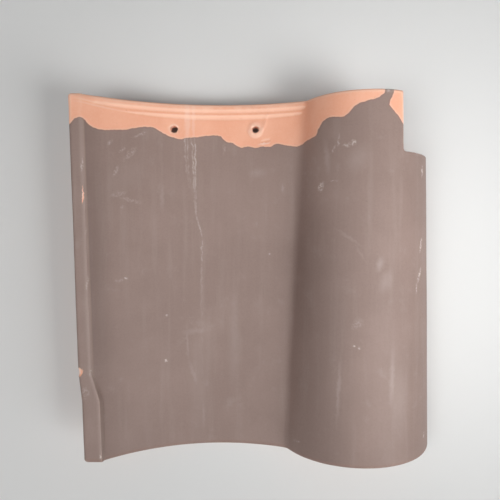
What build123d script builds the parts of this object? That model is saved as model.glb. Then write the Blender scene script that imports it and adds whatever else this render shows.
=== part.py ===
from build123d import *
import math
import os

# Clay roof tile with an S section, pressed and fired as one piece. Sizes in mm.
# X runs across the tile, Y runs up the roof slope to the head edge, Z is up.
# Z = 0 is the plane of the nib feet. X = 0 and Y = 0 are the middle of the plan size.

# Overall sizes
length = 310.0
wall = 10.0
nib_depth = 11.0

# Pan, a shallow round trough from the rim to the barrel. This is its lowest line.
pan_axis_x = -29.9

# Barrel, the roll that covers the next tile. It widens from the head to the tail.
barrel_rise = 52.6
barrel_radius_head = 57.4
barrel_radius_tail = 68.6
barrel_axis_x_head = 98.5
barrel_axis_x_tail = 89.8
foot_round_head = 14.0
foot_round_tail = 9.0

# Side rim along the left edge, a flat strip above the pan that sets in near the tail
rim_height = 40.3
rim_thickness = 10.0
rim_corner = 3.0
rim_step_head = 2.1
rim_step_tail = 3.7
rim_step_run = 1.2
rim_inner_x_head = -146.0
rim_inner_x_before_set_in = -136.1
rim_inner_x_after_set_in = -128.6
rim_inner_x_tail = -126.3
rim_width_before_set_in = 12.9
rim_width_after_set_in = 17.1
set_in_start = 75.0
set_in_run = 24.0

# The long run from the head to the set-in is lofted in equal parts, so its facets stay short
run_parts = 5

# Rounded end edges
tail_round = 3.0
tail_round_steps = 3
head_round = 1.5
head_round_steps = 2
head_corner_round = 3.5

# Two-step weather bar across the head of the pan. It gets lower towards the rim.
bar_height = 3.4
bar_height_at_rim = 0.6
bar_second_height = 2.0
bar_dip = 0.5
bar_top_length = 5.6
bar_slope_run = 2.0
bar_dip_run = 1.9
bar_second_top = 0.8
bar_second_slope_run = 3.2
bar_root = 3.0

# Cut-out in the barrel's side at the head, where the next course laps over
notch_length = 50.5
notch_from_crest = 24.3
notch_inner_round = 2.0
notch_outer_round = 3.0

# Nail holes, the second with a low raised ring
nail_hole_radius = 3.0
nail_hole_from_head = 23.0
nail_hole_from_pan_axis = 44.0
nail_hole_spacing = 74.4
ring_radius = 8.5
ring_edge_run = 2.4
ring_height = 0.8
ring_root = 1.5

# Two hanging nibs on the underside at the head edge
nib_width = 26.0
nib_length = 14.0
nib_spacing = 80.0
nib_draft = 1.5

pan_floor = nib_depth + wall
crest = pan_floor + barrel_rise
rim_top = pan_floor + rim_height
rim_bottom = rim_top - rim_thickness
head_y = length / 2
tail_y = -length / 2
nail_y = head_y - nail_hole_from_head
set_in_y = tail_y + set_in_start
set_in_end_y = set_in_y - set_in_run
notch_x = barrel_axis_x_head + notch_from_crest
notch_y = head_y - notch_length
nail_hole_x = pan_axis_x - nail_hole_from_pan_axis
second_nail_hole_x = nail_hole_x + nail_hole_spacing
past_tile = 2 * length


def trough_radius(half_width, rise):
    """Radius of a round trough that rises that much over half of its width."""
    return (half_width**2 + rise**2) / (2 * rise)


# The pan's radius gets smaller from the head to the tail, faster where the rim sets in
pan_half_head = pan_axis_x - rim_inner_x_head
pan_half_before_set_in = pan_axis_x - rim_inner_x_before_set_in
pan_half_tail = pan_axis_x - rim_inner_x_tail
pan_rise_head = rim_height - rim_step_head
pan_rise_tail = rim_height - rim_step_tail
pan_radius_head = trough_radius(pan_half_head, pan_rise_head)
pan_radius_before_set_in = trough_radius(pan_half_before_set_in, pan_rise_head)
pan_radius_tail = trough_radius(pan_half_tail, pan_rise_tail)
bar_radius = trough_radius(pan_half_head, pan_rise_head + bar_height_at_rim - bar_height)


def taper(head_value, tail_value, y):
    """A size that changes evenly from the head to the tail."""
    return head_value + (tail_value - head_value) * (head_y - y) / length


def part_way(start_value, end_value, start_y, end_y, y):
    return start_value + (end_value - start_value) * (start_y - y) / (start_y - end_y)


def rim_inner_x(y):
    """The rim's inner edge: it drifts inward all along, and faster over the set-in."""
    if y >= set_in_y:
        return part_way(rim_inner_x_head, rim_inner_x_before_set_in, head_y, set_in_y, y)
    if y >= set_in_end_y:
        ends = (rim_inner_x_before_set_in, rim_inner_x_after_set_in)
        return part_way(*ends, set_in_y, set_in_end_y, y)
    return part_way(rim_inner_x_after_set_in, rim_inner_x_tail, set_in_end_y, tail_y, y)


def pan_radius_at(y):
    if y >= set_in_y:
        return part_way(pan_radius_head, pan_radius_before_set_in, head_y, set_in_y, y)
    return part_way(pan_radius_before_set_in, pan_radius_tail, set_in_y, tail_y, y)


def rim_width(y):
    return rim_width_before_set_in if y >= set_in_y else rim_width_after_set_in


def polar(centre, radius, angle):
    return (centre[0] + radius * math.cos(angle), centre[1] + radius * math.sin(angle))


def direction(start, end):
    return math.atan2(end[1] - start[1], end[0] - start[0])


def foot_centre(pan_centre, pan_radius, barrel_centre, barrel_radius, foot_round):
    """Centre of the small round that joins the pan to the barrel."""
    from_pan = pan_radius - foot_round
    from_barrel = barrel_radius + foot_round
    apart = math.dist(pan_centre, barrel_centre)
    along = (apart**2 + from_pan**2 - from_barrel**2) / (2 * apart)
    turn = math.acos(along / from_pan)
    return polar(pan_centre, from_pan, direction(pan_centre, barrel_centre) - turn)


def arc_between(centre, radius, start_angle, end_angle, place):
    """An arc of a circle in the section, from one angle to the other."""
    middle = (start_angle + end_angle) / 2
    angles = (start_angle, middle, end_angle)
    return ThreePointArc(*[place(polar(centre, radius, angle)) for angle in angles])


def section(y, shrink=0.0):
    """The tile's cross section at y. A shrink takes that much off all round it."""

    def place(point):
        return Vector(point[0], y, point[1])

    pan_radius = pan_radius_at(y)
    barrel_radius = taper(barrel_radius_head, barrel_radius_tail, y)
    barrel_x = taper(barrel_axis_x_head, barrel_axis_x_tail, y)
    inner_x = rim_inner_x(y)
    outer_x = inner_x - rim_width(y) + shrink

    pan_centre = (pan_axis_x, pan_floor + pan_radius)
    barrel_centre = (barrel_x, crest - barrel_radius)
    foot_round = taper(foot_round_head, foot_round_tail, y)
    foot = foot_centre(pan_centre, pan_radius, barrel_centre, barrel_radius, foot_round)
    pan_top = pan_radius + shrink
    pan_under = pan_radius + wall - shrink
    foot_top = foot_round + shrink
    foot_under = foot_round + wall - shrink
    barrel_top = barrel_radius - shrink
    barrel_under = barrel_radius - wall + shrink

    # The directions in which the arcs meet, seen from their centres
    rim_side = math.pi + math.acos((pan_axis_x - inner_x) / pan_radius)
    foot_from_pan = direction(pan_centre, foot) + 2 * math.pi
    barrel_from_foot = direction(foot, barrel_centre) + 2 * math.pi
    foot_from_barrel = direction(barrel_centre, foot)
    hem = nib_depth + shrink - barrel_centre[1]
    hem_top = math.asin(hem / barrel_top)
    hem_under = math.asin(hem / barrel_under)

    top_z = rim_top - shrink
    under_z = rim_bottom + shrink
    corner = rim_corner * (top_z - under_z) / rim_thickness
    top_corner = (outer_x + corner, top_z - corner)
    under_corner = (outer_x + corner, under_z + corner)
    rim_edge_start = (inner_x - rim_step_run, top_z)
    pan_start = polar(pan_centre, pan_top, rim_side)
    pan_under_end = polar(pan_centre, pan_under, rim_side)
    half_turn = math.pi / 2

    edges = [
        arc_between(top_corner, corner, math.pi, half_turn, place),
        Line(place(polar(top_corner, corner, half_turn)), place(rim_edge_start)),
        Line(place(rim_edge_start), place(pan_start)),
        arc_between(pan_centre, pan_top, rim_side, foot_from_pan, place),
        arc_between(foot, foot_top, foot_from_pan, barrel_from_foot, place),
        arc_between(barrel_centre, barrel_top, foot_from_barrel, hem_top, place),
        Line(
            place(polar(barrel_centre, barrel_top, hem_top)),
            place(polar(barrel_centre, barrel_under, hem_under)),
        ),
        arc_between(barrel_centre, barrel_under, hem_under, foot_from_barrel, place),
        arc_between(foot, foot_under, barrel_from_foot, foot_from_pan, place),
        arc_between(pan_centre, pan_under, foot_from_pan, rim_side, place),
        Line(place(pan_under_end), place(polar(under_corner, corner, -half_turn))),
        arc_between(under_corner, corner, -half_turn, -math.pi, place),
        Line(
            place(polar(under_corner, corner, math.pi)),
            place(polar(top_corner, corner, math.pi)),
        ),
    ]
    return Face(Wire(edges))


def round_stations(end_y, inward, radius, steps):
    """Places and shrinks of the sections that round an end edge, from the end inward."""
    stations = []
    for step in range(steps + 1):
        angle = math.pi / 2 * step / steps
        y = end_y + inward * radius * (1 - math.cos(angle))
        stations.append((y, radius * (1 - math.sin(angle))))
    return stations


def body():
    """The S-shaped wall with its rim."""
    stations = round_stations(head_y, -1, head_round, head_round_steps)
    run_start = stations[-1][0]
    for part in range(1, run_parts + 1):
        stations.append((run_start + (set_in_y - run_start) * part / run_parts, 0.0))
    stations.append((set_in_end_y, 0.0))
    stations += reversed(round_stations(tail_y, 1, tail_round, tail_round_steps))
    return loft([section(y, shrink) for y, shrink in stations], ruled=True)


def weather_bar():
    """Two low steps across the head of the pan, turned about the pan's long axis."""
    barrel_centre = (barrel_axis_x_head, crest - barrel_radius_head)
    pan_centre = (pan_axis_x, pan_floor + pan_radius_head)
    head_circles = (pan_centre, pan_radius_head, barrel_centre, barrel_radius_head)
    foot = foot_centre(*head_circles, foot_round_head)
    mid_wall = barrel_radius_head - wall / 2
    in_barrel = polar(barrel_centre, mid_wall, direction(barrel_centre, foot))
    in_rim_x = rim_inner_x_head - rim_step_run

    top = pan_floor + bar_height
    second = pan_floor + bar_second_height
    top_end = head_y - bar_top_length
    dip_start = top_end - bar_slope_run
    second_start = dip_start - bar_dip_run
    second_end = second_start - bar_second_top
    root_end = second_end - bar_second_slope_run
    outline = [
        (head_y, pan_floor - bar_root),
        (head_y, top - head_round),
        (head_y - head_round, top),
        (top_end, top),
        (dip_start, second - bar_dip),
        (second_start, second),
        (second_end, second),
        (root_end, pan_floor),
        (root_end, pan_floor - bar_root),
    ]
    corners = [Vector(pan_axis_x, y, z) for y, z in outline]
    profile = Face(Wire(Polyline(*corners, close=True).edges()))

    axis_z = top + bar_radius
    axis = Axis((pan_axis_x, 0, axis_z), (0, 1, 0))
    to_rim = math.degrees(math.asin((pan_axis_x - in_rim_x) / bar_radius))
    to_barrel = math.degrees(math.atan2(in_barrel[0] - pan_axis_x, axis_z - in_barrel[1]))
    start = profile.rotate(axis, to_rim)
    return revolve(start, axis, revolution_arc=-(to_rim + to_barrel))


def pan_surface_z(x, y):
    """Height of the pan's top surface."""
    radius = pan_radius_at(y)
    return pan_floor + radius - math.sqrt(radius**2 - (x - pan_axis_x) ** 2)


def nail_ring():
    """The low raised ring round the second nail hole. It leans with the pan."""
    height = ring_height + ring_root
    base_radius = ring_radius + ring_edge_run * ring_root / ring_height
    ring = Cone(base_radius, ring_radius - ring_edge_run, height)
    surface_z = pan_surface_z(second_nail_hole_x, nail_y)
    lean = math.degrees(math.asin((second_nail_hole_x - pan_axis_x) / pan_radius_at(nail_y)))
    seat = Pos(second_nail_hole_x, nail_y, surface_z) * Rot(0, -lean, 0)
    return seat * Pos(0, 0, ring_height - height / 2) * ring


def nail_holes():
    drill = Cylinder(nail_hole_radius, past_tile)
    return [Pos(x, nail_y) * drill for x in (nail_hole_x, second_nail_hole_x)]


def nibs():
    """Two feet at the head. The side that bears on the batten is upright."""
    bearing_y = head_y - nib_length
    outline = [
        (bearing_y, 0),
        (head_y - nib_draft, 0),
        (head_y, pan_floor),
        (bearing_y, pan_floor),
    ]
    feet = []
    for side in (-1, 1):
        left_x = pan_axis_x + (side * nib_spacing - nib_width) / 2
        corners = [Vector(left_x, y, z) for y, z in outline]
        profile = Face(Wire(Polyline(*corners, close=True).edges()))
        feet.append(extrude(profile, amount=nib_width, dir=(1, 0, 0)))
    mid_wall = pan_radius_head + wall / 2
    trough = Pos(pan_axis_x, 0, pan_floor + pan_radius_head) * Rot(90, 0, 0)
    clear = trough * Cylinder(mid_wall, past_tile)
    return [foot - clear for foot in feet]


def lap_notch():
    """The block taken out of the barrel's side at the head."""
    middle = (notch_x + past_tile / 2, notch_y + past_tile / 2)
    block = Pos(*middle) * Rectangle(past_tile, past_tile)
    inner = block.vertices().sort_by(Axis.X)[:2].sort_by(Axis.Y)[0]
    return extrude(fillet(inner, notch_inner_round), amount=past_tile)


def corner_waste(x, y, inward_x, radius):
    """The waste outside a rounded plan corner at x, y whose tile lies towards the tail."""
    square = Pos(x, y) * Rectangle(2 * radius, 2 * radius)
    kept = Pos(x + inward_x * radius, y - radius) * Circle(radius)
    return extrude(square - kept, amount=past_tile)


def rounded_corners():
    """The waste at the rim's head corner and at the notch's outer corner."""
    rim_x = rim_inner_x_head - rim_width_before_set_in
    side_radius = taper(barrel_radius_head, barrel_radius_tail, notch_y)
    side_x = taper(barrel_axis_x_head, barrel_axis_x_tail, notch_y) + side_radius
    return [
        corner_waste(rim_x, head_y, 1, head_corner_round),
        corner_waste(side_x, notch_y, -1, notch_outer_round),
    ]


def roof_tile():
    tile = body() + weather_bar() + nail_ring()
    for nib in nibs():
        tile = tile + nib
    for waste in [lap_notch(), *rounded_corners(), *nail_holes()]:
        tile = tile - waste
    return tile.solid()


tile = roof_tile()
tile.label = "roof_tile"
os.makedirs("parts", exist_ok=True)
export_step(tile, "parts/roof_tile.step")
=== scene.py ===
import math

import bmesh
import bpy
import numpy as np
from mathutils import Matrix, Vector, noise


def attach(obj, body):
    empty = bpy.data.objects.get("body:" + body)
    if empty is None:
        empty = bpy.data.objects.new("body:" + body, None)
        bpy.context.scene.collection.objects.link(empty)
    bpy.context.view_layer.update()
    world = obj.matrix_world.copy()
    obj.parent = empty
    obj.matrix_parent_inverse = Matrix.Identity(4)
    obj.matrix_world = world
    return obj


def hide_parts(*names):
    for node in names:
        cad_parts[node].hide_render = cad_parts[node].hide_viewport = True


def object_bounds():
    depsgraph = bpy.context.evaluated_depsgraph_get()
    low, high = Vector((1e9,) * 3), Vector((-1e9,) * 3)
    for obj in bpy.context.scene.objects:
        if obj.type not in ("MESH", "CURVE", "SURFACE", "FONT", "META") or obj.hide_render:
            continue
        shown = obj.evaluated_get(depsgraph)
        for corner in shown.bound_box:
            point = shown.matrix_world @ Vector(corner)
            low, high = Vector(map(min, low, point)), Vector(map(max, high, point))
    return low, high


# A pressed and fired clay roof tile with a brown engobe coat on its upper side.
# Metres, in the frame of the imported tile: X across the tile, Y up the roof, Z up.

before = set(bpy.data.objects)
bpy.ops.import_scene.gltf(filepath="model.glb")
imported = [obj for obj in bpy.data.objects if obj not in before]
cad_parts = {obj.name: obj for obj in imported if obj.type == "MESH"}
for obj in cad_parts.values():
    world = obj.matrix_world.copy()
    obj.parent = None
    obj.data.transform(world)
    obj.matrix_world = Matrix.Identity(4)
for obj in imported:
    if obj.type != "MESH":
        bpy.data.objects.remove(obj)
cad_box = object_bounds()

MM = 0.001

# The camera, fitted to the outline of the tile in the photograph
CAMERA_PLACE = (-0.0047, 0.0307, 0.4799)
CAMERA_PITCH = -0.0181
CAMERA_YAW = -0.0008
CAMERA_LENS = 36.0
CAMERA_SENSOR = 36.0
CAMERA_SHIFT_Y = -0.038

# The finer mesh of the fired surface
WELD = 0.01 * MM
VOXEL = 0.9 * MM
SMOOTH_SHARE = 0.5
SMOOTH_ROUNDS = 2
MOST_TRIANGLES = 190000
# How far the pressed clay is uneven, over which length, and the seed of each noise
WARP_DEPTH = 0.35 * MM
WARP_LENGTH = 70 * MM
WARP_SEED = 3.0
RIPPLE_DEPTH = 0.09 * MM
RIPPLE_LENGTH = 9 * MM
RIPPLE_SEED = 8.0
# Rounds of smoothing that the edges are measured against, to find where they stand proud
BULGE_ROUNDS = 8
# Only what lies this low touches the ground
FOOT_HEIGHT = 1 * MM

# The engobe's wavy edge near the head, from the side rim to the crest, in millimetres
ENGOBE_EDGE = [
    (-175, 127), (-160, 128), (-155, 129.5), (-153, 132.5), (-150, 134), (-147, 134.5), (-144.5, 132.5),
    (-141, 128.5), (-137, 126.5), (-130.5, 126), (-122.5, 127), (-113.5, 128.5), (-104.5, 131),
    (-97.5, 132.5), (-91, 132), (-86, 129), (-80.5, 126), (-74.5, 124), (-67.5, 123), (-63.5, 124),
    (-58.5, 125), (-53.5, 125), (-46.5, 126.5), (-36.5, 127), (-33, 126.8), (-30, 124.5), (-26.5, 121),
    (-21, 120), (-17, 117.5), (-12.5, 115.5), (-6.5, 116.7), (-0.5, 115), (5.5, 116), (13.5, 115.5),
    (16.5, 117), (20.5, 118), (26.5, 116.5), (35.5, 114.5), (41.5, 115.5), (44.5, 117.5), (48, 119),
    (52, 120.5), (54, 125.5), (56, 129.5), (58.5, 132.5), (62, 133.7), (68, 133.3), (73.5, 133),
    (76.5, 135.5), (80.5, 140), (85.5, 143), (92.5, 145), (100, 147), (104, 150), (106, 154),
    (106, 180), (-175, 180),
]
# The small bare corner of the crest beside the tongue of engobe, in millimetres
BARE_CORNER = [
    (114.3, 180), (114, 155), (112.5, 150), (110, 145), (109, 142.8), (110.5, 140.5), (113.5, 137.3),
    (116.5, 134), (120.5, 129.5), (124, 126), (140, 126), (140, 180),
]

# Two pale drips that run down the pan and join, as places across the tile by places along it
DRIP_ALONG = [-130, -28, 4, 24, 33, 40, 51, 67, 88, 105, 124]
DRIP_RIGHT = [-48, -49, -49, -48.5, -48.7, -50, -54, -55.3, -55.5, -55.5, -57]
DRIP_LEFT = [-48, -49, -49, -48.5, -48.7, -50, -54, -55.3, -61, -62.5, -63.3]
DRIP_RIGHT_SHOWS = [0.0, 0.10, 0.20, 0.45, 0.20, 0.55, 0.35, 0.22, 0.45, 0.60, 0.55]
DRIP_LEFT_SHOWS = [0.0, 0.0, 0.0, 0.0, 0.0, 0.0, 0.0, 0.0, 0.18, 0.30, 0.50]
# Half the width of each drip, whose two sides show as pale lines near the head
DRIP_HALF_WIDTH = [0.0, 0.0, 0.0, 0.0, 0.0, 0.0, 0.2, 0.5, 0.8, 1.1, 1.3]

# The rim's inner edge, as places across the tile by places along it, and where it is soft
RIM_EDGE_ALONG = [-155, -104, -80, 155]
RIM_EDGE = [-126.3, -128.6, -136.1, -146.0]
RIM_SOFT_FROM = 75 * MM
RIM_SOFT_TO = 130 * MM
RIM_SOFT_REACH = 6 * MM
RIM_SOFT_ROUNDS = 24
RIM_SOFT_LEAST_UP = 0.2

# A low ridge that runs from the weather bar round the second nail hole, in millimetres
RIDGE = [(11, 144), (10, 139), (8.5, 134.5), (6, 130.5), (2, 127.8), (-2.5, 128.3), (-5, 131)]
RIDGE_HEIGHT = 0.45 * MM
RIDGE_WIDTH = 1.3 * MM
RIDGE_LEAST_UP = 0.5

# Marks on the coat: place across and along, half length, half width, turn from the X axis
# in degrees, and strength. Sizes in millimetres.
SCUFFS = [
    (-146.0, 94, 6.0, 0.9, 88, 0.55), (-142.5, 38, 3.0, 0.7, 90, 0.25),
    (-137.8, -80, 2.2, 0.6, 90, 0.7), (-129.5, -149, 1.4, 0.9, 90, 0.9),
    (-142, -96, 5.0, 3.0, 90, 0.25), (-126, 116, 2.8, 1.2, 60, 0.35),
    (-117.5, 109.5, 3.0, 0.8, 45, 0.4), (-102, 126, 6.0, 0.7, 28, 0.4),
    (-28.5, 114, 5.0, 1.2, 85, 0.25), (79.8, 110.5, 3.0, 1.8, 20, 0.6),
    (69, 113, 5.0, 0.7, 80, 0.3), (65, 106, 4.0, 0.7, 70, 0.3),
    (55.5, 75.5, 3.6, 1.8, 70, 0.8), (79.7, -55.6, 1.1, 0.8, 30, 0.8),
    (83.7, -57.4, 1.5, 0.7, 150, 0.7), (-80, -77.7, 1.3, 1.1, 0, 1.0), (13, 18, 0.9, 0.7, 0, 0.5),
    (36, -142.5, 3.0, 0.8, 20, 0.3), (82, -38, 5.0, 3.0, 40, 0.18), (-113, -3, 1.0, 0.9, 0, 0.8),
    (143.5, 90, 5.0, 1.1, 85, 0.8), (141, 26, 6.0, 1.0, 80, 0.95), (139, 1, 6.0, 1.4, 70, 0.9),
    (135.5, -10, 4.0, 0.9, 85, 0.6), (145, -137.5, 2.5, 1.0, 80, 0.7), (-147, -100, 5.0, 2.0, 100, 0.5),
    (109.5, 153.5, 4.0, 1.5, 0, 0.6), (-104, 124, 5.0, 1.0, 20, 0.3), (-111, 107, 7.0, 2.0, 52, 0.25),
    (-122, 91, 5.0, 1.3, 72, 0.3), (-119, 71, 5.0, 2.0, 20, 0.22), (-110, 66, 8.0, 1.6, -15, 0.2),
    (-117, 58, 4.0, 1.0, 90, 0.22), (74, 109, 3.0, 1.4, 160, 0.45), (65, 80, 3.0, 0.6, 0, 0.35),
    (-141, -5.5, 5.5, 1.0, 88, 0.4), (-79.5, -37, 1.1, 1.0, 0, 0.5), (-118, -4.5, 3.5, 1.4, 5, 0.2),
]
# The same for faint clouds of dust
DUST = [
    (101, 11, 6.0, 3.0, 75, 0.22), (106, -3, 9.0, 5.0, 70, 0.14), (111, -83, 22.0, 2.6, 88, 0.22),
    (67.5, -93, 24.0, 1.4, 86, 0.16), (84, 98, 12.0, 8.0, 60, 0.10), (118, -100, 30.0, 8.0, 88, 0.12),
    (60, 100, 14.0, 2.0, 95, 0.14), (-84, 70, 12.0, 1.5, 90, 0.12), (-20, -60, 40.0, 5.0, 90, 0.08),
    (-50, -100, 60.0, 9.0, 90, 0.07), (76, 33, 11.0, 1.4, -36, 0.10), (85, 20, 7.0, 1.1, -60, 0.08),
    (-54, -52, 12.0, 3.0, 5, 0.12), (-112, 88, 20.0, 12.0, 50, 0.06), (-61.5, -62, 15.0, 1.3, 92, 0.15),
    (-56, -91, 14.0, 2.0, -72, 0.14), (-47, -127, 14.0, 1.6, 90, 0.14), (2, 92, 7.0, 4.0, 0, 0.12),
    (25, 78, 4.0, 0.9, 90, 0.18),
]
# The same for the places where the coat has come off and the clay shows
CHIPS = [(-147.2, -79.5, 3.8, 2.9, 90, 1.0), (-145.3, 68.5, 7.4, 0.75, 91, 0.95)]
# Places where a flake is gone or the clay was pressed in, with a depth in millimetres last
SCOOPS = [
    (-147.3, -79.5, 3.6, 2.8, 90, 0.8), (-145.3, 68.5, 7.5, 1.4, 91, 0.35),
    (9.5, 120.8, 5.0, 1.6, 8, 0.6), (143, 91.5, 3.5, 1.2, 88, 0.3), (139, 2, 8.0, 1.2, 92, 0.3),
]
# The pale places on the bare clay, with a strength last
PALE_CLAY = [
    (-62, 140, 20.0, 2.6, 90, 0.4), (-56.5, 140, 20.0, 1.6, 90, 0.3), (8, 118.8, 5.0, 0.9, 8, 0.8),
    (0.5, 132, 8.0, 7.6, 0, 0.14), (-73.9, 132, 4.4, 4.4, 0, 0.14), (-147.2, -79.2, 2.4, 1.4, 90, 1.0),
    (-145.7, 70, 6.0, 0.6, 91, 0.9),
]
# The same for the painted highlights on the bar's two lines, where they fade towards the rim, and how
# ragged those are
BAR_HIGHLIGHTS = [(-134, 146, 17.0, 0.9, -6, 0.4), (-143, 149.5, 9.0, 0.9, -6, 0.4)]
BAR_RAGGED_BY = 0.8 * MM

# The ragged outlines of marks, which lie at any height
RAGGED_LENGTH = 3.5 * MM
RAGGED_BY = 4.0 * MM
ANY_HEIGHT = 1000.0
# The coat's edge on the clay: how far it wobbles, and how soft it is
EDGE_WOBBLE = 1.8 * MM
EDGE_SOFT = 0.35 * MM
# The surface's grain and the clay's clouds, and how matt both finishes are, from and to
GRAIN_LENGTH = 1.6 * MM
CLOUD_LENGTH = 28 * MM
CLAY_ROUGHNESS = (0.80, 0.92)
COAT_ROUGHNESS = (0.56, 0.70)
# How far a point stands proud of its neighbours before its clay is paler, from wear and as a painted
# highlight, or lies below them, where it gets painted shade
BULGE_LEAST = 0.05 * MM
BULGE_FULL = 0.30 * MM
# The pale fringe on the clay beside the coat, and the specks in the clay
FRINGE_FULL = 0.2 * MM
FRINGE_ENDS = 2.2 * MM
SPECK_SPACING = 9 * MM
# The relief in the bump of the surface
PIT_SPACING = 6 * MM
PIT_DEPTH = 0.10 * MM
COAT_THICKNESS = 0.12 * MM
GRAIN_DEPTH = 0.035 * MM
SWELL_LENGTH = 6 * MM
SWELL_DEPTH = 0.07 * MM

# The tones of the bare clay
CLAY = (0.89, 0.425, 0.275)
CLAY_CLOUD = (0.93, 0.48, 0.325)
CLAY_GRAIN = (0.94, 0.53, 0.375)
CLAY_SPECK = (0.45, 0.18, 0.11)
CLAY_FRINGE = (0.94, 0.60, 0.47)
# Paler on proud edges: partly wear, partly a painted highlight
CLAY_PROUD_WEAR_AND_HIGHLIGHT = (0.95, 0.62, 0.47)
# A painted highlight on clay that faces the tail
CLAY_TAIL_HIGHLIGHT = (0.95, 0.63, 0.475)
# Painted shade in the hollows of the clay
CLAY_HOLLOW_SHADE = (0.74, 0.32, 0.20)
CLAY_CHALKY = (0.95, 0.67, 0.56)
# How much of a tone shows, at most
CLAY_GRAIN_SHARE = 0.4
CLAY_SPECK_SHARE = 0.3
CLAY_FRINGE_SHARE = 0.3
CLAY_PROUD_WEAR_AND_HIGHLIGHT_SHARE = 0.5
CLAY_TAIL_HIGHLIGHT_SHARE = 0.55
CLAY_HOLLOW_SHADE_SHARE = 0.25

# The tones of the brown coat
COAT = (0.287, 0.200, 0.172)
COAT_CLOUD = (0.328, 0.232, 0.201)
COAT_STREAK = (0.43, 0.34, 0.30)
COAT_GRAIN = (0.21, 0.15, 0.13)
COAT_DUSTY = (0.50, 0.43, 0.39)
# This dark tone serves the darker zone beside the rim and the painted shade at the barrel's foot
COAT_DARK = (0.15, 0.10, 0.085)
COAT_PALE_EDGE = (0.58, 0.47, 0.42)
COAT_AT_TAIL = (0.30, 0.175, 0.14)
COAT_HEM = (0.27, 0.155, 0.125)
COAT_DRIP = (0.60, 0.52, 0.47)
COAT_DUST = (0.66, 0.57, 0.53)
COAT_SCUFF = (0.72, 0.62, 0.57)
COAT_WORN = (0.50, 0.36, 0.30)
# How much of a tone shows, at most
COAT_STREAK_SHARE = 0.20
COAT_GRAIN_SHARE = 0.18
COAT_DUSTY_SHARE = 0.15
COAT_PALE_EDGE_SHARE = 0.22
COAT_AT_TAIL_SHARE = 0.4
COAT_HEM_SHARE = 0.35

# The coat's clouds, its streaks, which run down the slope, and its dust
COAT_CLOUD_LENGTH = 60 * MM
STREAK_LENGTH = 9 * MM
STREAKS_DRAWN_OUT = 0.08
DUSTY_LENGTH = 14 * MM
# The dark line where the coat ends, and the thin coat on the tail's rounded edge
HEM_STARTS = -1.9 * MM
HEM_FULL = -0.4 * MM
TAIL_THIN_FROM = -150.5 * MM
TAIL_THIN_TO = -153 * MM
# The rim's rubbed inner edge, by distance from its line
RIM_RUBBED_INNER = (0.2 * MM, -0.6 * MM)
RIM_RUBBED_OUTER = (-5 * MM, -2 * MM)
# The worn outer edges: where they stand proud, in patches of this length, with least and most
WORN_BULGE = (0.40 * MM, 0.80 * MM)
WORN_LENGTH = 35 * MM
WORN_SHARE = (0.12, 0.6)

# The dark zone beside the rim, by distance from the rim's inner edge. Towards the tail and the
# head it is weaker: from, to, and the share at each, along the tile.
RIM_ZONE_STARTS = 0.8 * MM
RIM_ZONE_FULL = 2 * MM
RIM_ZONE_ENDS = 20 * MM
RIM_ZONE_SHARE = 0.45
RIM_ZONE_TAIL = (-115 * MM, -45 * MM, 0.12, 1.0)
RIM_ZONE_HEAD = (20 * MM, 115 * MM, 1.0, 0.65)
# The painted shade at the barrel's foot: from and to at both its sides, across the tile, and then
# from, to, and the share at each, along the tile
FOOT_SHADE_LEFT = (22 * MM, 46 * MM)
FOOT_SHADE_RIGHT = (90 * MM, 52 * MM)
FOOT_SHADE_ALONG = (70 * MM, -10 * MM, 0.0, 0.34)
# The drips' lines: how far they waver, and half their width in full and in all
DRIP_WAVER = 4.5 * MM
DRIP_FULL = 0.2 * MM
DRIP_ENDS = 1.0 * MM

# The pale floor, plain and as the camera sees it, and the light that the room gives
FLOOR = (0.70, 0.70, 0.69)
FLOOR_CLOUD = (0.73, 0.73, 0.72)
FLOOR_SEEN = (0.765, 0.765, 0.755)
ROOM_COLOUR = (0.97, 0.98, 1.0)
ROOM_LIGHT = 0.16
ROOM_SEEN = 0.85
# How far from the middle the floor fades into the background, and how much
FLOOR_FADE_FROM = 0.28
FLOOR_FADE_TO = 1.1
FLOOR_FADE = 0.66
FLOOR_HALF = 3.0

# The soft boxes: name, target, elevation and azimuth, distance, size, spread and power, with
# angles in degrees
LAMPS = [
    ("left_side", (0.0, -0.04, 0.05), 65, -160, 1.15, 0.75, 180, 5.85),
    ("tail_side", (0.0, 0.08, 0.05), 35, -35, 1.5, 0.9, 180, 7.0),
    ("window", (0.18, 0.09, 0.05), 55, -45, 0.7, 0.4, 60, 0.48),
]


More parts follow.
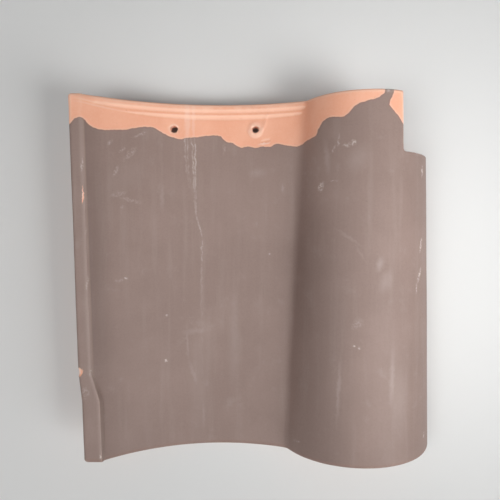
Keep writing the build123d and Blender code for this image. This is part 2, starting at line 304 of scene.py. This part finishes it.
class Nodes:
    """Short calls that build one material's node tree."""

    def __init__(self, name):
        self.material = bpy.data.materials.new(name)
        self.material.use_nodes = True
        self.tree = self.material.node_tree
        self.shader = self.tree.nodes["Principled BSDF"]

    def put(self, socket, value):
        """Links a socket or sets a plain value."""
        if isinstance(value, bpy.types.NodeSocket):
            self.tree.links.new(value, socket)
        elif socket.type == "RGBA":
            socket.default_value = (*value, 1.0)
        else:
            socket.default_value = value

    def math(self, operation, *values):
        """A sum, product or other plain step between values."""
        node = self.tree.nodes.new("ShaderNodeMath")
        node.operation = operation
        for socket, value in zip(node.inputs, values):
            self.put(socket, value)
        return node.outputs[0]

    def step(self, value, low, high, low_out=0.0, high_out=1.0):
        """A smooth step of value between low and high."""
        node = self.tree.nodes.new("ShaderNodeMapRange")
        node.interpolation_type = "SMOOTHSTEP"
        for socket, given in zip(node.inputs, (value, low, high, low_out, high_out)):
            self.put(socket, given)
        return node.outputs[0]

    def mix(self, share, first, second):
        """A mix of two colours, where share 1 gives the second."""
        node = self.tree.nodes.new("ShaderNodeMix")
        node.data_type = "RGBA"
        self.put(node.inputs["Factor"], share)
        self.put(node.inputs[6], first)
        self.put(node.inputs[7], second)
        return node.outputs[2]

    def tint(self, colour, where, most, tone):
        """The colour with a tone over it where that shows, up to the share most."""
        return self.mix(self.math("MULTIPLY", where, most), colour, tone)

    def place(self, stretch=(1.0, 1.0, 1.0)):
        """The point on the object, in metres, stretched along the axes."""
        place = self.tree.nodes.new("ShaderNodeTexCoord").outputs["Object"]
        mapping = self.tree.nodes.new("ShaderNodeMapping")
        mapping.inputs["Scale"].default_value = stretch
        self.put(mapping.inputs["Vector"], place)
        return mapping.outputs[0]

    def noise(self, length, detail=3.0, roughness=0.55, stretch=(1.0, 1.0, 1.0)):
        """Noise with features about as long as length, in metres."""
        node = self.tree.nodes.new("ShaderNodeTexNoise")
        self.put(node.inputs["Vector"], self.place(stretch))
        self.put(node.inputs["Scale"], 1.0 / length)
        self.put(node.inputs["Detail"], detail)
        self.put(node.inputs["Roughness"], roughness)
        return node.outputs[0]

    def cells(self, length):
        """Distance from scattered points that are about length apart, as a share of length."""
        node = self.tree.nodes.new("ShaderNodeTexVoronoi")
        self.put(node.inputs["Vector"], self.place())
        self.put(node.inputs["Scale"], 1.0 / length)
        return node.outputs[0]

    def marks(self, table, outer=1.5, inner=0.3, ragged_by=RAGGED_BY, broken=False):
        """Spots of a table of marks, with ragged outlines. Broken ones look like chalky dust."""
        ragged = self.tree.nodes.new("ShaderNodeTexNoise")
        self.put(ragged.inputs["Vector"], self.place())
        self.put(ragged.inputs["Scale"], 1.0 / RAGGED_LENGTH)
        self.put(ragged.inputs["Detail"], 4.0)
        centred = self.vector("SUBTRACT", ragged.outputs["Color"], (0.5, 0.5, 0.5))
        shifted = self.vector("MULTIPLY_ADD", centred, (ragged_by,) * 3, self.place())
        total = 0.0
        for across, along, half_length, half_width, turn, strength in table:
            local = self.tree.nodes.new("ShaderNodeMapping")
            local.vector_type = "TEXTURE"
            self.put(local.inputs["Vector"], shifted)
            local.inputs["Location"].default_value = (across * MM, along * MM, 0.0)
            local.inputs["Rotation"].default_value = (0.0, 0.0, math.radians(turn))
            local.inputs["Scale"].default_value = (half_length * MM, half_width * MM, ANY_HEIGHT)
            reach = self.vector("LENGTH", local.outputs[0])
            total = self.math("MAXIMUM", self.step(reach, outer, inner, 0.0, strength), total)
        if not broken:
            return total
        return self.math("MULTIPLY", total, self.step(self.noise(1.8 * MM, 4), 0.40, 0.62, 0.10, 1.0))

    def vector(self, operation, *values):
        """A step between vectors, or the length of one."""
        node = self.tree.nodes.new("ShaderNodeVectorMath")
        node.operation = operation
        for socket, value in zip(node.inputs, values):
            self.put(socket, value)
        return node.outputs["Value" if operation == "LENGTH" else "Vector"]

    def attribute(self, name):
        """A value that mark_surface stored on the mesh."""
        node = self.tree.nodes.new("ShaderNodeAttribute")
        node.attribute_name = name
        return node.outputs["Fac"]

    def bump(self, height):
        """A bump whose height is in metres."""
        node = self.tree.nodes.new("ShaderNodeBump")
        self.put(node.inputs["Strength"], 1.0)
        self.put(node.inputs["Distance"], 1.0)
        self.put(node.inputs["Height"], height)
        self.tree.links.new(node.outputs[0], self.shader.inputs["Normal"])

    def finish(self, name, value):
        """Sets one input of the material's shader."""
        self.put(self.shader.inputs[name], value)


def fine_mesh(cad):
    """A finer copy of the CAD mesh, with the slightly soft edges of pressed clay."""
    mesh = cad.data.copy()
    mesh.materials.clear()
    welded = bmesh.new()
    welded.from_mesh(mesh)
    bmesh.ops.remove_doubles(welded, verts=welded.verts, dist=WELD)
    welded.to_mesh(mesh)
    welded.free()
    tile = bpy.data.objects.new("fired_tile", mesh)
    bpy.context.scene.collection.objects.link(tile)
    remesh = tile.modifiers.new("even_mesh", "REMESH")
    remesh.mode = "VOXEL"
    remesh.voxel_size = VOXEL
    smooth = tile.modifiers.new("soft_edges", "SMOOTH")
    smooth.factor = SMOOTH_SHARE
    smooth.iterations = SMOOTH_ROUNDS
    apply_modifiers(tile)
    return tile


def apply_modifiers(piece):
    """Turns the modifiers' result into the piece's own mesh."""
    graph = bpy.context.evaluated_depsgraph_get()
    mesh = bpy.data.meshes.new_from_object(piece.evaluated_get(graph))
    piece.modifiers.clear()
    piece.data = mesh


def points_of(mesh):
    """The mesh's points, one in each row."""
    points = np.zeros(len(mesh.vertices) * 3, np.float32)
    mesh.vertices.foreach_get("co", points)
    return points.reshape(-1, 3).astype(float)


def normals_of(mesh):
    """The direction that the surface faces at each point."""
    normals = np.zeros(len(mesh.vertices) * 3, np.float32)
    mesh.vertex_normals.foreach_get("vector", normals)
    return normals.reshape(-1, 3).astype(float)


def set_points(mesh, points):
    """Moves the mesh's points to new places."""
    mesh.vertices.foreach_set("co", points.astype(np.float32).ravel())
    mesh.update()


def noise_at(points, length, seed):
    """Noise from -1 to 1 at each point, with features about as long as length."""
    offset = Vector((seed, 2.0 * seed, -seed))
    return np.array([noise.noise(Vector(point) / length + offset) for point in points])


def warp(mesh):
    """Shallow unevenness of the pressed and fired clay. It only ever goes inward."""
    points = points_of(mesh)
    normals = normals_of(mesh)
    broad = 0.5 - 0.5 * noise_at(points, WARP_LENGTH, WARP_SEED)
    ripple = 0.5 - 0.5 * noise_at(points, RIPPLE_LENGTH, RIPPLE_SEED)
    depth = WARP_DEPTH * broad + RIPPLE_DEPTH * ripple
    set_points(mesh, points - normals * depth[:, None])


def soften_rim(mesh):
    """Rounds the rim's inner edge towards the head, where the tile was wiped smooth."""
    points = points_of(mesh)
    start, end = ends_of_edges(mesh)
    share = np.clip((points[:, 1] - RIM_SOFT_FROM) / (RIM_SOFT_TO - RIM_SOFT_FROM), 0, 1)
    share *= np.clip(1.5 - np.abs(beside_rim(points)) / RIM_SOFT_REACH, 0, 1)
    share[normals_of(mesh)[:, 2] < RIM_SOFT_LEAST_UP] = 0
    for _ in range(RIM_SOFT_ROUNDS):
        points += share[:, None] * (neighbour_level(points, start, end) - points)
    set_points(mesh, points)


def beside_rim(points):
    """Distance to the right of the rim's inner edge, in metres."""
    along = np.array(RIM_EDGE_ALONG) * MM
    return points[:, 0] - np.interp(points[:, 1], along, np.array(RIM_EDGE) * MM)


def raise_ridge(mesh):
    """Raises the low ridge between the weather bar and the second nail hole."""
    points = points_of(mesh)
    normals = normals_of(mesh)
    route = np.array(RIDGE, float) * MM
    nearest = np.full(len(points), np.inf)
    for start, end in zip(route[:-1], route[1:]):
        nearest = np.minimum(nearest, distance_to_line(points[:, :2], start, end))
    height = RIDGE_HEIGHT * np.exp(-((nearest / RIDGE_WIDTH) ** 2))
    height[normals[:, 2] < RIDGE_LEAST_UP] = 0
    set_points(mesh, points + normals * height[:, None])


def scoop_out(mesh):
    """Presses the flaked and dented places in."""
    points = points_of(mesh)
    normals = normals_of(mesh)
    depth = np.zeros(len(points))
    for across, along, half_length, half_width, turn, dark_beside_rim in SCOOPS:
        angle = math.radians(turn)
        offset = points[:, :2] / MM - (across, along)
        long_way = offset @ (math.cos(angle), math.sin(angle)) / half_length
        short_way = offset @ (-math.sin(angle), math.cos(angle)) / half_width
        bowl = np.clip(1 - long_way**2 - short_way**2, 0, 1)
        depth = np.maximum(depth, np.sqrt(bowl) * dark_beside_rim * MM)
    depth[normals[:, 2] < 0] = 0
    set_points(mesh, points - normals * depth[:, None])


def thin_out(tile):
    """Keeps the mesh under the most triangles that it may have."""
    triangles = sum(len(polygon.vertices) - 2 for polygon in tile.data.polygons)
    decimate = tile.modifiers.new("thin_out", "DECIMATE")
    decimate.ratio = min(1.0, MOST_TRIANGLES / triangles)
    apply_modifiers(tile)


def keep_in_box(mesh):
    """Keeps every point inside the box of the CAD solid."""
    low, high = (np.array(corner) for corner in cad_box)
    set_points(mesh, np.clip(points_of(mesh), low, high))


def rounded(outline, steps=5):
    """A smooth closed curve through the points of an outline."""
    points = np.array(outline, float)
    four = (np.roll(points, 1, 0), points, np.roll(points, -1, 0), np.roll(points, -2, 0))
    curve = []
    for before, start, end, after in zip(*four):
        for share in np.arange(steps) / steps:
            bend = (end - before) * share + (2 * before - 5 * start + 4 * end - after) * share**2
            bend += (3 * start - before - 3 * end + after) * share**3
            curve.append(start + bend / 2)
    return np.array(curve)


def distance_to_line(places, start, end):
    """Distance of each place from the line between start and end."""
    along = end - start
    share = np.clip((places - start) @ along / (along @ along), 0.0, 1.0)
    return np.linalg.norm(places - start - share[:, None] * along, axis=1)


def distance_into(outline, places):
    """Signed distance from a closed outline, positive inside it."""
    corners = rounded(outline) * MM
    inside = np.zeros(len(places), bool)
    nearest = np.full(len(places), np.inf)
    for start, end in zip(corners, np.roll(corners, -1, axis=0)):
        along = end - start
        nearest = np.minimum(nearest, distance_to_line(places, start, end))
        if start[1] != end[1]:
            crosses = (places[:, 1] < start[1]) != (places[:, 1] < end[1])
            at = start[0] + (places[:, 1] - start[1]) * along[0] / along[1]
            inside ^= crosses & (places[:, 0] < at)
    return np.where(inside, nearest, -nearest)


def ends_of_edges(mesh):
    """The two end points of every edge, by number."""
    edges = np.zeros(len(mesh.edges) * 2, np.int32)
    mesh.edges.foreach_get("vertices", edges)
    return edges.reshape(-1, 2).T


def neighbour_level(points, start, end):
    """The mean place of each point's neighbours."""
    total = np.zeros_like(points)
    for axis in range(3):
        total[:, axis] += np.bincount(start, points[end, axis], len(points))
        total[:, axis] += np.bincount(end, points[start, axis], len(points))
    return total / np.bincount(np.r_[start, end], minlength=len(points))[:, None]


def edge_bulge(mesh):
    """How far each point stands proud of its neighbours: high along the outer edges."""
    points = points_of(mesh)
    start, end = ends_of_edges(mesh)
    level = points.copy()
    for _ in range(BULGE_ROUNDS):
        level = neighbour_level(level, start, end)
    return np.einsum("ij,ij->i", points - level, normals_of(mesh))


def store(mesh, name, values):
    """Stores one value at each point, which the material can read."""
    mesh.attributes.new(name, "FLOAT", "POINT").data.foreach_set("value", values.astype(np.float32))


def mark_surface(mesh):
    """Stores what the clay and engobe materials need to know at each point."""
    points = points_of(mesh)
    across, along = points[:, 0], points[:, 1]
    places = points[:, :2]
    bare = np.maximum(distance_into(ENGOBE_EDGE, places), distance_into(BARE_CORNER, places))
    store(mesh, "bare_clay", bare)
    store(mesh, "facing_up", normals_of(mesh)[:, 2])
    store(mesh, "facing_tail", -normals_of(mesh)[:, 1])
    store(mesh, "bulge", edge_bulge(mesh))
    store(mesh, "beside_rim", beside_rim(points))
    drips = (("drip_right", DRIP_RIGHT, DRIP_RIGHT_SHOWS), ("drip_left", DRIP_LEFT, DRIP_LEFT_SHOWS))
    stops = np.array(DRIP_ALONG) * MM
    for name, drip, shows in drips:
        store(mesh, name, across - np.interp(along, stops, np.array(drip) * MM))
        store(mesh, name + "_shows", np.interp(along, stops, shows))
    store(mesh, "drip_half_width", np.interp(along, stops, np.array(DRIP_HALF_WIDTH) * MM))


def fired_surface():
    """Bare clay under a matte brown engobe coat that stops in a wavy line near the head."""
    nodes = Nodes("fired_clay")
    split = nodes.tree.nodes.new("ShaderNodeSeparateXYZ")
    nodes.put(split.inputs[0], nodes.place())
    across, along = split.outputs[0], split.outputs[1]
    grain = nodes.noise(GRAIN_LENGTH, 3, 0.7)
    cloud = nodes.noise(CLOUD_LENGTH, 4)

    # Where the engobe lies: the upper side, past the wavy line
    wobble = nodes.math("SUBTRACT", nodes.noise(5 * MM, 2), 0.5)
    bare = nodes.math("MULTIPLY_ADD", wobble, EDGE_WOBBLE, nodes.attribute("bare_clay"))
    fuzzy_up = nodes.math("MULTIPLY_ADD", nodes.noise(6 * MM, 3), 0.4, nodes.attribute("facing_up"))
    on_top = nodes.step(fuzzy_up, -0.15, 0.05)
    coat = nodes.math("MULTIPLY", nodes.step(bare, EDGE_SOFT, -EDGE_SOFT), on_top)
    chips = nodes.marks(CHIPS, outer=1.2, inner=0.8)
    coat = nodes.math("MULTIPLY", coat, nodes.math("SUBTRACT", 1.0, chips))

    clay = clay_colour(nodes, bare, grain, cloud)
    brown = engobe_colour(nodes, bare, across, along, grain)
    nodes.finish("Base Color", nodes.mix(coat, clay, brown))
    clay_roughness = nodes.step(cloud, 0.2, 0.8, *CLAY_ROUGHNESS)
    engobe_roughness = nodes.step(grain, 0.2, 0.8, *COAT_ROUGHNESS)
    gap = nodes.math("SUBTRACT", engobe_roughness, clay_roughness)
    nodes.finish("Roughness", nodes.math("MULTIPLY_ADD", coat, gap, clay_roughness))

    # Relief in metres: the coat's thickness, fine grain and small pits
    pits = nodes.math("MULTIPLY", nodes.step(nodes.cells(PIT_SPACING), 0.10, 0.03), -PIT_DEPTH)
    relief = nodes.math("MULTIPLY_ADD", coat, COAT_THICKNESS, pits)
    relief = nodes.math("MULTIPLY_ADD", grain, GRAIN_DEPTH, relief)
    relief = nodes.math("MULTIPLY_ADD", nodes.noise(SWELL_LENGTH, 4), SWELL_DEPTH, relief)
    nodes.bump(relief)
    return nodes.material


def clay_colour(nodes, bare, grain, cloud):
    """Warm orange pink clay, cloudy, with a pale fringe beside the engobe, painted highlights where it
    faces the tail and on the bar's lines, paler proud edges and painted shade in its hollows.
    """
    clay = nodes.mix(nodes.step(cloud, 0.35, 0.7), CLAY, CLAY_CLOUD)
    clay = nodes.tint(clay, nodes.step(grain, 0.4, 0.8), CLAY_GRAIN_SHARE, CLAY_GRAIN)
    speck = nodes.step(nodes.cells(SPECK_SPACING), 0.07, 0.03)
    clay = nodes.tint(clay, speck, CLAY_SPECK_SHARE, CLAY_SPECK)
    fringe = nodes.step(nodes.math("ABSOLUTE", bare), FRINGE_ENDS, FRINGE_FULL)
    clay = nodes.tint(clay, fringe, CLAY_FRINGE_SHARE, CLAY_FRINGE)
    # Proud edges are paler, partly from wear and partly as a painted highlight
    proud = nodes.step(nodes.attribute("bulge"), BULGE_LEAST, BULGE_FULL, 0.0, CLAY_PROUD_WEAR_AND_HIGHLIGHT_SHARE)
    clay = nodes.mix(proud, clay, CLAY_PROUD_WEAR_AND_HIGHLIGHT)
    # Painted highlight: clay that faces the tail is paler, as the light comes from that side
    facing = nodes.attribute("facing_tail")
    tail_highlight = nodes.step(facing, 0.04, 0.28, 0.0, CLAY_TAIL_HIGHLIGHT_SHARE)
    clay = nodes.mix(tail_highlight, clay, CLAY_TAIL_HIGHLIGHT)
    # Painted shade in the hollows of the clay
    hollow_shade = nodes.step(nodes.attribute("bulge"), -BULGE_LEAST, -BULGE_FULL, 0.0, CLAY_HOLLOW_SHADE_SHARE)
    clay = nodes.mix(hollow_shade, clay, CLAY_HOLLOW_SHADE)
    # Painted highlights on the bar's two lines, where they fade towards the rim
    clay = nodes.mix(nodes.marks(BAR_HIGHLIGHTS, ragged_by=BAR_RAGGED_BY), clay, CLAY_TAIL_HIGHLIGHT)
    return nodes.mix(nodes.marks(PALE_CLAY), clay, CLAY_CHALKY)


def engobe_colour(nodes, bare, across, along, grain):
    """Matte brown with clouds, faint streaks down the slope, drips, scuffs, worn edges and painted
    shade at the barrel's foot.
    """
    clouds = nodes.step(nodes.noise(COAT_CLOUD_LENGTH, 4), 0.3, 0.7)
    brown = nodes.mix(clouds, COAT, COAT_CLOUD)
    drawn_out = (1.0, STREAKS_DRAWN_OUT, 1.0)
    streak = nodes.step(nodes.noise(STREAK_LENGTH, 4, 0.6, stretch=drawn_out), 0.48, 0.75)
    brown = nodes.tint(brown, streak, COAT_STREAK_SHARE, COAT_STREAK)
    brown = nodes.tint(brown, nodes.step(grain, 0.4, 0.8), COAT_GRAIN_SHARE, COAT_GRAIN)
    dusty = nodes.step(nodes.noise(DUSTY_LENGTH, 5, 0.65), 0.56, 0.78)
    brown = nodes.tint(brown, dusty, COAT_DUSTY_SHARE, COAT_DUSTY)

    # Beside the rim the photo shows the coat darker, and the rim's own edge paler
    beside = nodes.attribute("beside_rim")
    fades = nodes.step(beside, RIM_ZONE_ENDS, RIM_ZONE_FULL, 0.0, RIM_ZONE_SHARE)
    dark_beside_rim = nodes.math("MULTIPLY", nodes.step(beside, 0.0, RIM_ZONE_STARTS), fades)
    dark_beside_rim = nodes.math("MULTIPLY", dark_beside_rim, nodes.step(along, *RIM_ZONE_TAIL))
    dark_beside_rim = nodes.math("MULTIPLY", dark_beside_rim, nodes.step(along, *RIM_ZONE_HEAD))
    brown = nodes.mix(dark_beside_rim, brown, COAT_DARK)
    starts = nodes.step(beside, *RIM_RUBBED_INNER)
    rubbed = nodes.math("MULTIPLY", starts, nodes.step(beside, *RIM_RUBBED_OUTER))
    brown = nodes.tint(brown, rubbed, COAT_PALE_EDGE_SHARE, COAT_PALE_EDGE)

    # Painted shade at the barrel's foot towards the tail, darkening the coat there
    right = nodes.step(across, *FOOT_SHADE_RIGHT)
    foot = nodes.math("MULTIPLY", nodes.step(across, *FOOT_SHADE_LEFT), right)
    foot = nodes.math("MULTIPLY", foot, nodes.step(along, *FOOT_SHADE_ALONG))
    brown = nodes.mix(foot, brown, COAT_DARK)

    # Along the tail the coat is thin, so the rounded edge is redder
    tail = nodes.step(along, TAIL_THIN_FROM, TAIL_THIN_TO, 0.0, COAT_AT_TAIL_SHARE)
    brown = nodes.mix(tail, brown, COAT_AT_TAIL)

    # A thin darker and redder line where the coat ends
    hem = nodes.step(bare, HEM_STARTS, HEM_FULL)
    brown = nodes.tint(brown, hem, COAT_HEM_SHARE, COAT_HEM)

    waver = nodes.math("SUBTRACT", nodes.noise(5 * MM, 3), 0.5)
    broken = nodes.step(nodes.noise(4 * MM, 3), 0.36, 0.62, 0.2, 1.0)
    for name in ("drip_right", "drip_left"):
        side = nodes.math("MULTIPLY_ADD", waver, DRIP_WAVER, nodes.attribute(name))
        off_middle = nodes.math("ABSOLUTE", side)
        inward = nodes.math("SUBTRACT", off_middle, nodes.attribute("drip_half_width"))
        line = nodes.step(nodes.math("ABSOLUTE", inward), DRIP_ENDS, DRIP_FULL)
        strength = nodes.math("MULTIPLY", broken, nodes.attribute(name + "_shows"))
        shown = nodes.math("MULTIPLY", line, strength)
        brown = nodes.mix(shown, brown, COAT_DRIP)
    brown = nodes.mix(nodes.marks(DUST, outer=1.6, inner=0.0), brown, COAT_DUST)
    brown = nodes.mix(nodes.marks(SCUFFS, broken=True), brown, COAT_SCUFF)

    # Worn edges in patches, where the clay shows pink through the thin coat
    rough_edge = nodes.math("MULTIPLY_ADD", nodes.noise(4 * MM, 4), 0.3 * MM, nodes.attribute("bulge"))
    patchy = nodes.step(nodes.noise(WORN_LENGTH, 3), 0.42, 0.68, *WORN_SHARE)
    worn = nodes.math("MULTIPLY", nodes.step(rough_edge, *WORN_BULGE), patchy)
    return nodes.mix(worn, brown, COAT_WORN)


def floor_material():
    """A plain pale floor. The camera sees it a little paler, and fading into the background."""
    nodes = Nodes("pale_floor")
    seen = nodes.tree.nodes.new("ShaderNodeLightPath").outputs["Is Camera Ray"]
    soft = nodes.noise(300 * MM, 2)
    plain = nodes.mix(nodes.step(soft, 0.3, 0.7), FLOOR, FLOOR_CLOUD)
    nodes.finish("Base Color", nodes.mix(seen, plain, FLOOR_SEEN))
    nodes.finish("Roughness", 0.9)
    distance = nodes.vector("LENGTH", nodes.place())
    away = nodes.step(distance, FLOOR_FADE_FROM, FLOOR_FADE_TO, 0.0, FLOOR_FADE)
    nodes.finish("Emission Color", ROOM_COLOUR)
    nodes.finish("Emission Strength", nodes.math("MULTIPLY", seen, away))
    return nodes.material


def fired_tile():
    """The visible tile, which takes the place of the CAD mesh."""
    tile = fine_mesh(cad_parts["roof_tile"])
    soften_rim(tile.data)
    raise_ridge(tile.data)
    warp(tile.data)
    scoop_out(tile.data)
    thin_out(tile)
    keep_in_box(tile.data)
    mark_surface(tile.data)
    tile.data.shade_smooth()
    tile.data.materials.append(fired_surface())
    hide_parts("roof_tile")
    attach(tile, "root")
    return tile


def floor():
    """A plain floor that touches the nibs and the tail, since the tile rests on those."""
    points = points_of(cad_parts["roof_tile"].data)
    foot = points[:, 2] < FOOT_HEIGHT
    nib_y = points[foot, 1].min()
    tail = points[points[:, 1] < 0]
    slope = (tail[:, 2] / (nib_y - tail[:, 1])).min()
    square = ((-1, -1), (1, -1), (1, 1), (-1, 1))
    around = [(x * FLOOR_HALF, y * FLOOR_HALF) for x, y in square]
    corners = [(x, y, slope * (nib_y - y)) for x, y in around]
    mesh = bpy.data.meshes.new("floor")
    mesh.from_pydata(corners, [], [(0, 1, 2, 3)])
    plane = bpy.data.objects.new("floor", mesh)
    bpy.context.scene.collection.objects.link(plane)
    mesh.materials.append(floor_material())


def camera():
    """The camera of the photograph, above the tile and looking down."""
    data = bpy.data.cameras.new("camera")
    data.lens = CAMERA_LENS
    data.sensor_width = CAMERA_SENSOR
    data.shift_y = CAMERA_SHIFT_Y
    eye = bpy.data.objects.new("camera", data)
    turn = Matrix.Rotation(CAMERA_YAW, 4, "Z") @ Matrix.Rotation(-CAMERA_PITCH, 4, "X")
    eye.matrix_world = Matrix.Translation(CAMERA_PLACE) @ turn
    bpy.context.scene.collection.objects.link(eye)
    bpy.context.scene.camera = eye


def area_light(name, target, elevation, azimuth, away, size, spread, power):
    """A soft box at a distance from its target, seen from it at an elevation and azimuth in degrees."""
    data = bpy.data.lights.new(name, "AREA")
    data.shape = "DISK"
    data.size = size
    data.spread = math.radians(spread)
    data.energy = power
    lamp = bpy.data.objects.new(name, data)
    high, around = math.radians(elevation), math.radians(azimuth)
    flat = math.cos(high)
    back = Vector((flat * math.cos(around), flat * math.sin(around), math.sin(high)))
    place = Vector(target) + away * back
    lamp.matrix_world = Matrix.Translation(place) @ back.to_track_quat("Z", "Y").to_matrix().to_4x4()
    lamp.visible_camera = False
    bpy.context.scene.collection.objects.link(lamp)


def lights():
    """Soft light from the room, brighter where the camera sees it, and the soft boxes."""
    world = bpy.data.worlds.new("soft_room")
    world.use_nodes = True
    background = world.node_tree.nodes["Background"]
    background.inputs["Color"].default_value = (*ROOM_COLOUR, 1.0)
    seen = world.node_tree.nodes.new("ShaderNodeLightPath").outputs["Is Camera Ray"]
    strength = world.node_tree.nodes.new("ShaderNodeMapRange")
    strength.inputs["To Min"].default_value = ROOM_LIGHT
    strength.inputs["To Max"].default_value = ROOM_SEEN
    world.node_tree.links.new(seen, strength.inputs["Value"])
    world.node_tree.links.new(strength.outputs[0], background.inputs["Strength"])
    bpy.context.scene.world = world
    for lamp in LAMPS:
        area_light(*lamp)


fired_tile()
floor()
camera()
lights()
bpy.context.scene.view_settings.view_transform = "Standard"
